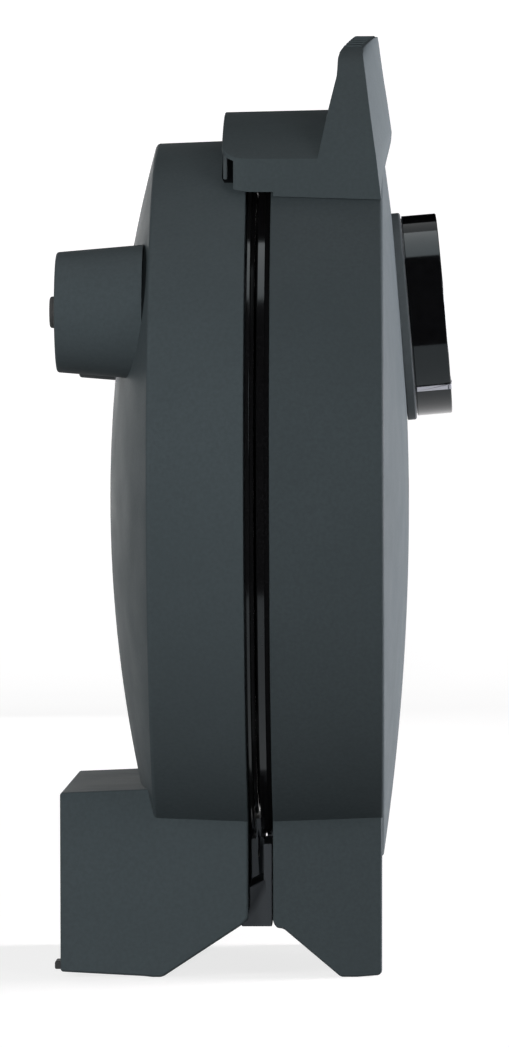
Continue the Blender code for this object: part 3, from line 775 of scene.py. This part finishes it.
# ---- smaller pieces ------------------------------------------------------------------------------
def foot_pads():
    """Pads in the ends of the feet, and the nubs level with them at the foot of the leg."""
    outline = [(PAD_TIP, 0), (PAD_TIP, 4.8), (-56.3, 4.8), (-56.3, 7.0), (-54.8, 7.0), (-54.8, 0)]
    outline = rounded(outline, [0, 0.8, 0, 0.2, 0.2, 0], 5)
    dimple = [(PAD_TIP - 1, 0), (PAD_TIP - 1, 1.6), (PAD_TIP + 0.6, 1.2), (PAD_TIP + 0.6, 0)]
    nub_face = [(-58.7, 2.2), (PAD_TIP, 2.2), (PAD_TIP, 4.6), (-58.7, 4.6)]
    for at, (tag, side) in zip(foot_axes(), SIDES):
        pad = turned("foot_pad_" + tag + "_fine", outline, at, XAXIS, 64)
        cut(pad, turned("dimple", dimple, at, XAXIS, 32))
        place(pad, "base", MATERIALS["rubber"], ["foot_pad_" + tag])
        y = side * NUB_Y
        nub = soften(prism("leg_pad_" + tag + "_fine", nub_face, y - 5.0, y + 5.0), 0.5, 40, 4)
        place(nub, "base", MATERIALS["rubber"], ["leg_pad_" + tag])


def plate(name, body, way, floor, pegs, node):
    """Baking plate: a dish with its floor at one X and softened square pegs up to another."""
    back = floor - way * 2.2
    outline = [(back, 0.0), (back, DISC_R), (pegs, DISC_R), (pegs, 93.2), (floor, 91.2), (floor, 0.0)]
    obj = turned(name, rounded(outline, [0, 1.2, 0.4, 0.7, 1.2, 0], 4), BODY, XAXIS, 180)
    verts, faces = [], []
    for i in range(-5, 5):
        for j in range(-5, 5):
            cy, cz = (i + 0.5) * PEG_PITCH, (j + 0.5) * PEG_PITCH
            if math.hypot(abs(cy) + PEG_HALF_ROOT, abs(cz) + PEG_HALF_ROOT) > PEG_FIELD_R:
                continue
            k = len(verts)
            for x, h in ((floor - way * 0.6, PEG_HALF_ROOT), (pegs, PEG_HALF_TOP)):
                for sy, sz in ((-1, -1), (1, -1), (1, 1), (-1, 1)):
                    verts.append((x, cy + sy * h, BODY.z + cz + sz * h))
            faces += [(k, k + 1, k + 2, k + 3), (k + 4, k + 7, k + 6, k + 5)]
            faces += [(k + a, k + 4 + a, k + 4 + (a + 1) % 4, k + (a + 1) % 4) for a in range(4)]
    add(obj, soften(mesh_object("pegs", verts, faces), 0.7, 30, 3))
    place(obj, body, MATERIALS["nonstick"], [node], angle=30)


def plates():
    """Both plates and the gloss rims round them."""
    plate("lower_plate_fine", "base", 1, -7.0, -3.0, "lower_plate")
    plate("upper_plate_fine", "lid", -1, 9.5, 5.2, "upper_plate")
    hole = DISC_R + 0.4
    outline = [(-0.45, PLATE_R), (-1.8, PLATE_R), (-1.8, COLLAR_R), (-6.0, COLLAR_R), (-6.0, hole),
               (0.57, hole), (0.57, 98.4), (-0.45, 98.6)]
    outline = rounded(outline, [0.4, 0.25, 0, 0, 0, 0.3, 0.3, 0.1], 4)
    ring = turned("lower_ring", outline, BODY, XAXIS, 256)
    place(ring, "base", MATERIALS["plate_ring"], ["lower_plate_ring"])
    outline = [(1.4, PLATE_R), (4.0, PLATE_R), (4.0, 104.2), (5.1, 103.8), (5.1, COLLAR_R),
               (8.6, COLLAR_R), (8.6, hole), (1.4, hole)]
    outline = rounded(outline, [0.45, 0.3, 0, 0.3, 0, 0, 0, 0.3], 4)
    ring = turned("upper_ring", outline, BODY, XAXIS, 256)
    place(ring, "lid", MATERIALS["plate_ring"], ["upper_plate_ring"])


def hinge():
    """The base's bracket with its barrel in the middle, and the lid's block on each side of it."""
    bore = [(-70, 0), (-70, BORE_R), (70, BORE_R), (70, 0)]
    web = [(-1.8, 39.6), (-0.35, 39.6), (-0.35, 45.9), (1.25, 45.9), (1.25, 39.9), (2.15, 39.9),
           (2.15, HINGE.z), (-1.8, 17.4)]
    knuckle = soften(prism("hinge_knuckle_fine", web, -BRACKET_W, BRACKET_W), 0.2, 40, 3)
    cut(knuckle, block("web_slot", (0.25, -18.5, 33.9), (0.68, 18.5, 40.6)))
    barrel = [(-BRACKET_W, 0), (-BRACKET_W, 3.4), (BRACKET_W, 3.4), (BRACKET_W, 0)]
    add(knuckle, turned("barrel", rounded(barrel, [0, 0.4, 0.4, 0], 4), HINGE, YAXIS, 64))
    cut(knuckle, turned("bore", bore, HINGE, YAXIS, 48))
    place(knuckle, "base", MATERIALS["dark_trim"], ["hinge_knuckle"])
    outline = [(5.15, 40.5), (2.5, 40.5), (2.5, 29.5), (-1.8, 27.2), (-1.8, 21.0), (-4.3, 16.6),
               (-4.3, 15.2), (5.15, 15.2)]
    for tag, side in SIDES:
        ends = sorted((side * BLOCK_IN, side * BLOCK_OUT))
        lug = soften(prism("hinge_block_" + tag + "_fine", outline, *ends), 0.45, 25, 3)
        deep = sorted((0, side * BORE_DEPTH))
        hole = [(deep[0], 0), (deep[0], BORE_R), (deep[1], BORE_R), (deep[1], 0)]
        cut(lug, turned("bore", hole, HINGE, YAXIS, 48))
        place(lug, "lid", MATERIALS["dark_trim"], ["hinge_block_" + tag])


def dial_parts():
    """Gloss knob with a groove down its side and face, the bright strip in it, and the bezel."""
    skirt = DIAL_BACK - 0.28
    step, sunk = DIAL_BACK - 0.1, DIAL_FACE - 0.7
    outline = [(9.4, 0), (9.4, 3.5), (skirt, 3.5), (skirt, DIAL_R - 0.7), (step, DIAL_R - 0.7),
               (step, DIAL_R), (DIAL_FACE, DIAL_R), (DIAL_FACE, DIAL_R - 4.0), (sunk, DIAL_R - 5.2),
               (sunk, 0)]
    outline = rounded(outline, [0, 0, 0, 0, 0, 0.2, 0.45, 0.3, 0.4, 0], 5)
    knob = turned("dial_fine", outline, DIAL_ORIGIN, DIAL_AXIS, 256)
    basis = axis_frame(DIAL_AXIS)
    up, level = basis.col[0], basis.col[1]
    near = -level if level.y > 0 else level
    skyward = up if up.z > 0 else -up
    radial = (near * math.cos(POINTER_ANGLE) - skyward * math.sin(POINTER_ANGLE)).normalized()
    tangent = DIAL_AXIS.cross(radial)

    def bar(name, r0, r1, half, a0, a1):
        """Bar at the pointer's place, from r0 to r1 out and from a0 to a1 along the axis."""
        verts = []
        for a in (a0, a1):
            for r, h in ((r0, -half), (r1, -half), (r1, half), (r0, half)):
                verts.append(DIAL_ORIGIN + DIAL_AXIS * a + radial * r + tangent * h)
        faces = [(0, 1, 2, 3), (7, 6, 5, 4), (0, 4, 5, 1), (1, 5, 6, 2), (2, 6, 7, 3), (3, 7, 4, 0)]
        return mesh_object(name, verts, faces)

    groove_r, strip_r, strip_face = DIAL_R + 2, DIAL_R + 0.3, DIAL_FACE + 0.15
    cut(knob, bar("groove", DIAL_R - 1.4, groove_r, GROOVE_HALF, DIAL_BACK - 1, DIAL_FACE + 1))
    cut(knob, bar("face_groove", DIAL_R - 3.6, groove_r, GROOVE_HALF, DIAL_FACE - 1.0, DIAL_FACE + 1))
    place(knob, "dial", MATERIALS["dial"], ["dial"])
    strip = bar("dial_pointer_fine", DIAL_R - 1.1, strip_r, POINTER_HALF, DIAL_BACK, strip_face)
    add(strip, bar("face_strip", DIAL_R - 3.4, strip_r, POINTER_HALF, DIAL_FACE - 0.8, strip_face))
    place(soften(strip, 0.2, 40, 3), "dial", MATERIALS["pointer"], ["dial_pointer"])
    outline = [(-0.7, 9.0), (-0.7, BEZEL_R), (BEZEL_TOP, BEZEL_R), (BEZEL_TOP, 9.0)]
    ring = turned("bezel_fine", rounded(outline, [0, 0.2, 0.7, 0.3], 5), DIAL_ORIGIN, DIAL_AXIS, 256)
    place(ring, "lid", MATERIALS["bezel"], ["dial_bezel"])


def lamps():
    """Indicator lenses, each with a flange behind the lid's wall and a low crown in front."""
    outline = [(43.6, 0), (43.6, 4.4), (44.7, 4.4), (44.7, 3.1), (46.9, 3.1), (47.3, 1.6), (47.4, 0)]
    outline = rounded(outline, [0, 0.2, 0.2, 0, 0.4, 0.8, 0], 4)
    for tag, _ in SIDES:
        at = centre("lamp_lens_" + tag)
        at.x = 0
        lens = turned("lamp_" + tag + "_fine", outline, at, XAXIS, 64)
        place(lens, "lid", MATERIALS["lamp"], ["lamp_lens_" + tag])


def gland():
    """Bushing in the leg's outer face, where the cord would leave."""
    at = Vector((0, 0, centre("cord_gland").z))
    outline = [(-59.9, 3.2), (-59.9, 5.9), (-56.7, 5.9), (-56.7, 7.6), (-54.6, 7.6), (-54.6, 3.2)]
    obj = turned("cord_gland_fine", rounded(outline, [0.4, 0.5, 0, 0.2, 0.2, 0], 4), at, XAXIS, 64)
    place(obj, "base", MATERIALS["rubber"], ["cord_gland"])


def latch():
    """Release bar at the slot's left end, with the tongue that hangs beside the striker."""
    obj = soften(band("latch_bar_fine", LATCH_W, -9.0, -7.8, 1.7, 1.7), 0.3, 40, 3)
    add(obj, soften(block("bridge", (-8.4, -5.8, 260.9), (-4.9, 5.8, 262.3)), 0.3, 40, 3))
    add(obj, soften(block("tongue", (-6.6, -5.8, 255.7), (-4.6, 5.8, 262.0)), 0.3, 40, 3))
    place(obj, "latch", MATERIALS["latch"], ["latch_bar"])


base_casing()
lid_casing()
handle()
foot_pads()
plates()
hinge()
dial_parts()
lamps()
gland()
latch()

# ---- CAD nodes that stay as they are get their finish -------------------------------------------
SLOT_OF = {part["node"]: part["material_slot"] for part in frame["record"]["subparts"]}
for node, obj in frame["nodes"].items():
    if node in REPLACED:
        continue
    if not obj.material_slots:
        obj.data.materials.append(None)
    for entry in obj.material_slots:
        entry.material = MATERIALS[SLOT_OF[node]]


# ---- studio ------------------------------------------------------------------------------------
FLOOR_GLOW = 0.77         # the table and the backdrop are lit from behind
WALL_GLOW = 0.93
GLOW_RISES = (1.0, 1.8)   # from the one glow to the other between these places behind the object
AIM = (0.0, 0.0, 0.15)


def seamless_floor():
    """A white table whose front edge is close, curving up into a backdrop; sizes in metres."""
    wide, front, back, bend, tall, bend_steps = 2.6, -0.29, 1.85, 0.35, 0.56, 12
    line = [(front, 0.0), (back, 0.0)]
    for k in range(1, bend_steps + 1):
        t = math.pi / 2 * k / bend_steps
        line.append((back + bend * math.sin(t), bend * (1 - math.cos(t))))
    line.append((back + bend, tall))
    verts = [(x / MM, y / MM, z / MM) for y, z in line for x in (-wide, wide)]
    faces = [(2 * i, 2 * i + 1, 2 * i + 3, 2 * i + 2) for i in range(len(line) - 1)]
    obj = mesh_object("floor", verts, faces)
    m = Shade("floor_white", (0.32, 0.32, 0.32), 0.9, specular=0.0)
    m.set("Emission Color", (1.0, 1.0, 1.0, 1.0))
    where = m.tree.nodes.new("ShaderNodeSeparateXYZ")
    m.tree.links.new(m.coords, where.inputs["Vector"])
    glow = m.span(where.outputs["Y"], FLOOR_GLOW, WALL_GLOW, *GLOW_RISES)
    m.tree.links.new(glow, m.shader.inputs["Emission Strength"])
    m.vary_roughness(m.noise(3, 2), 0.03)
    obj.data.materials.append(m.material)
    for f in obj.data.polygons:
        f.use_smooth = True
    obj.visible_diffuse = False


def area_light(name, place_at, size, power, colour=(1, 1, 1), aim=AIM):
    """Rectangular light pointed at the object's middle; places and sizes in metres."""
    data = bpy.data.lights.new(name, "AREA")
    data.shape = "RECTANGLE"
    data.size, data.size_y = size
    data.energy = power
    data.color = colour
    obj = bpy.data.objects.new(name, data)
    obj.location = place_at
    obj.rotation_mode = "QUATERNION"
    obj.rotation_quaternion = (Vector(aim) - Vector(place_at)).to_track_quat("-Z", "Y")
    bpy.context.collection.objects.link(obj)
    return obj


def studio():
    """Floor, a white surround behind it that only the camera sees, and the lights."""
    seamless_floor()
    world = bpy.data.worlds.new("studio_world")
    bpy.context.scene.world = world
    world.use_nodes = True
    background = world.node_tree.nodes["Background"]
    background.inputs["Color"].default_value = (1, 1, 1, 1)
    background.inputs["Strength"].default_value = 1.05
    world.cycles_visibility.diffuse = False
    world.cycles_visibility.glossy = False
    key = area_light("key", (0.013, -1.80, 0.183), (0.03, 0.03), 16.0)
    key.visible_glossy = False
    area_light("front_left", (-0.95, -0.75, 0.42), (0.5, 0.5), 6.4)
    area_light("front_right", (0.80, -1.0, 0.80), (0.6, 0.6), 2.8)
    area_light("left_back", (-0.46, 1.40, 0.45), (0.5, 0.8), 5.8)
    area_light("right_side", (1.2, 0.3, 0.12), (0.6, 0.8), 84, (1.0, 0.93, 0.955))
    for name, y, depth, power in (("top_soft", -0.03, 0.86, 12.3), ("top_dim", 0.70, 0.6, 2.1)):
        top = area_light(name, (0.0, y, 1.4), (1.8, depth), power, aim=(0.0, y, 0.0))
        top.visible_diffuse = False
    bpy.context.scene.view_settings.view_transform = "Standard"
    bpy.context.scene.view_settings.look = "None"


def camera():
    """Nearly level and nearly along the hinge line, from far off."""
    data = bpy.data.cameras.new("camera")
    data.sensor_width = 36.0
    data.lens = 194.4
    data.clip_start, data.clip_end = 0.05, 20.0
    obj = bpy.data.objects.new("camera", data)
    obj.location = (0.0329, -1.783, 0.1640)
    yaw, pitch, roll = math.radians(-1.088), math.radians(-0.85), math.radians(-0.17)
    look = Vector((math.tan(yaw), 1.0, math.tan(pitch)))
    obj.rotation_mode = "QUATERNION"
    obj.rotation_quaternion = look.to_track_quat("-Z", "Y") @ Quaternion((0, 0, 1), roll)
    bpy.context.collection.objects.link(obj)
    bpy.context.scene.camera = obj


studio()
camera()
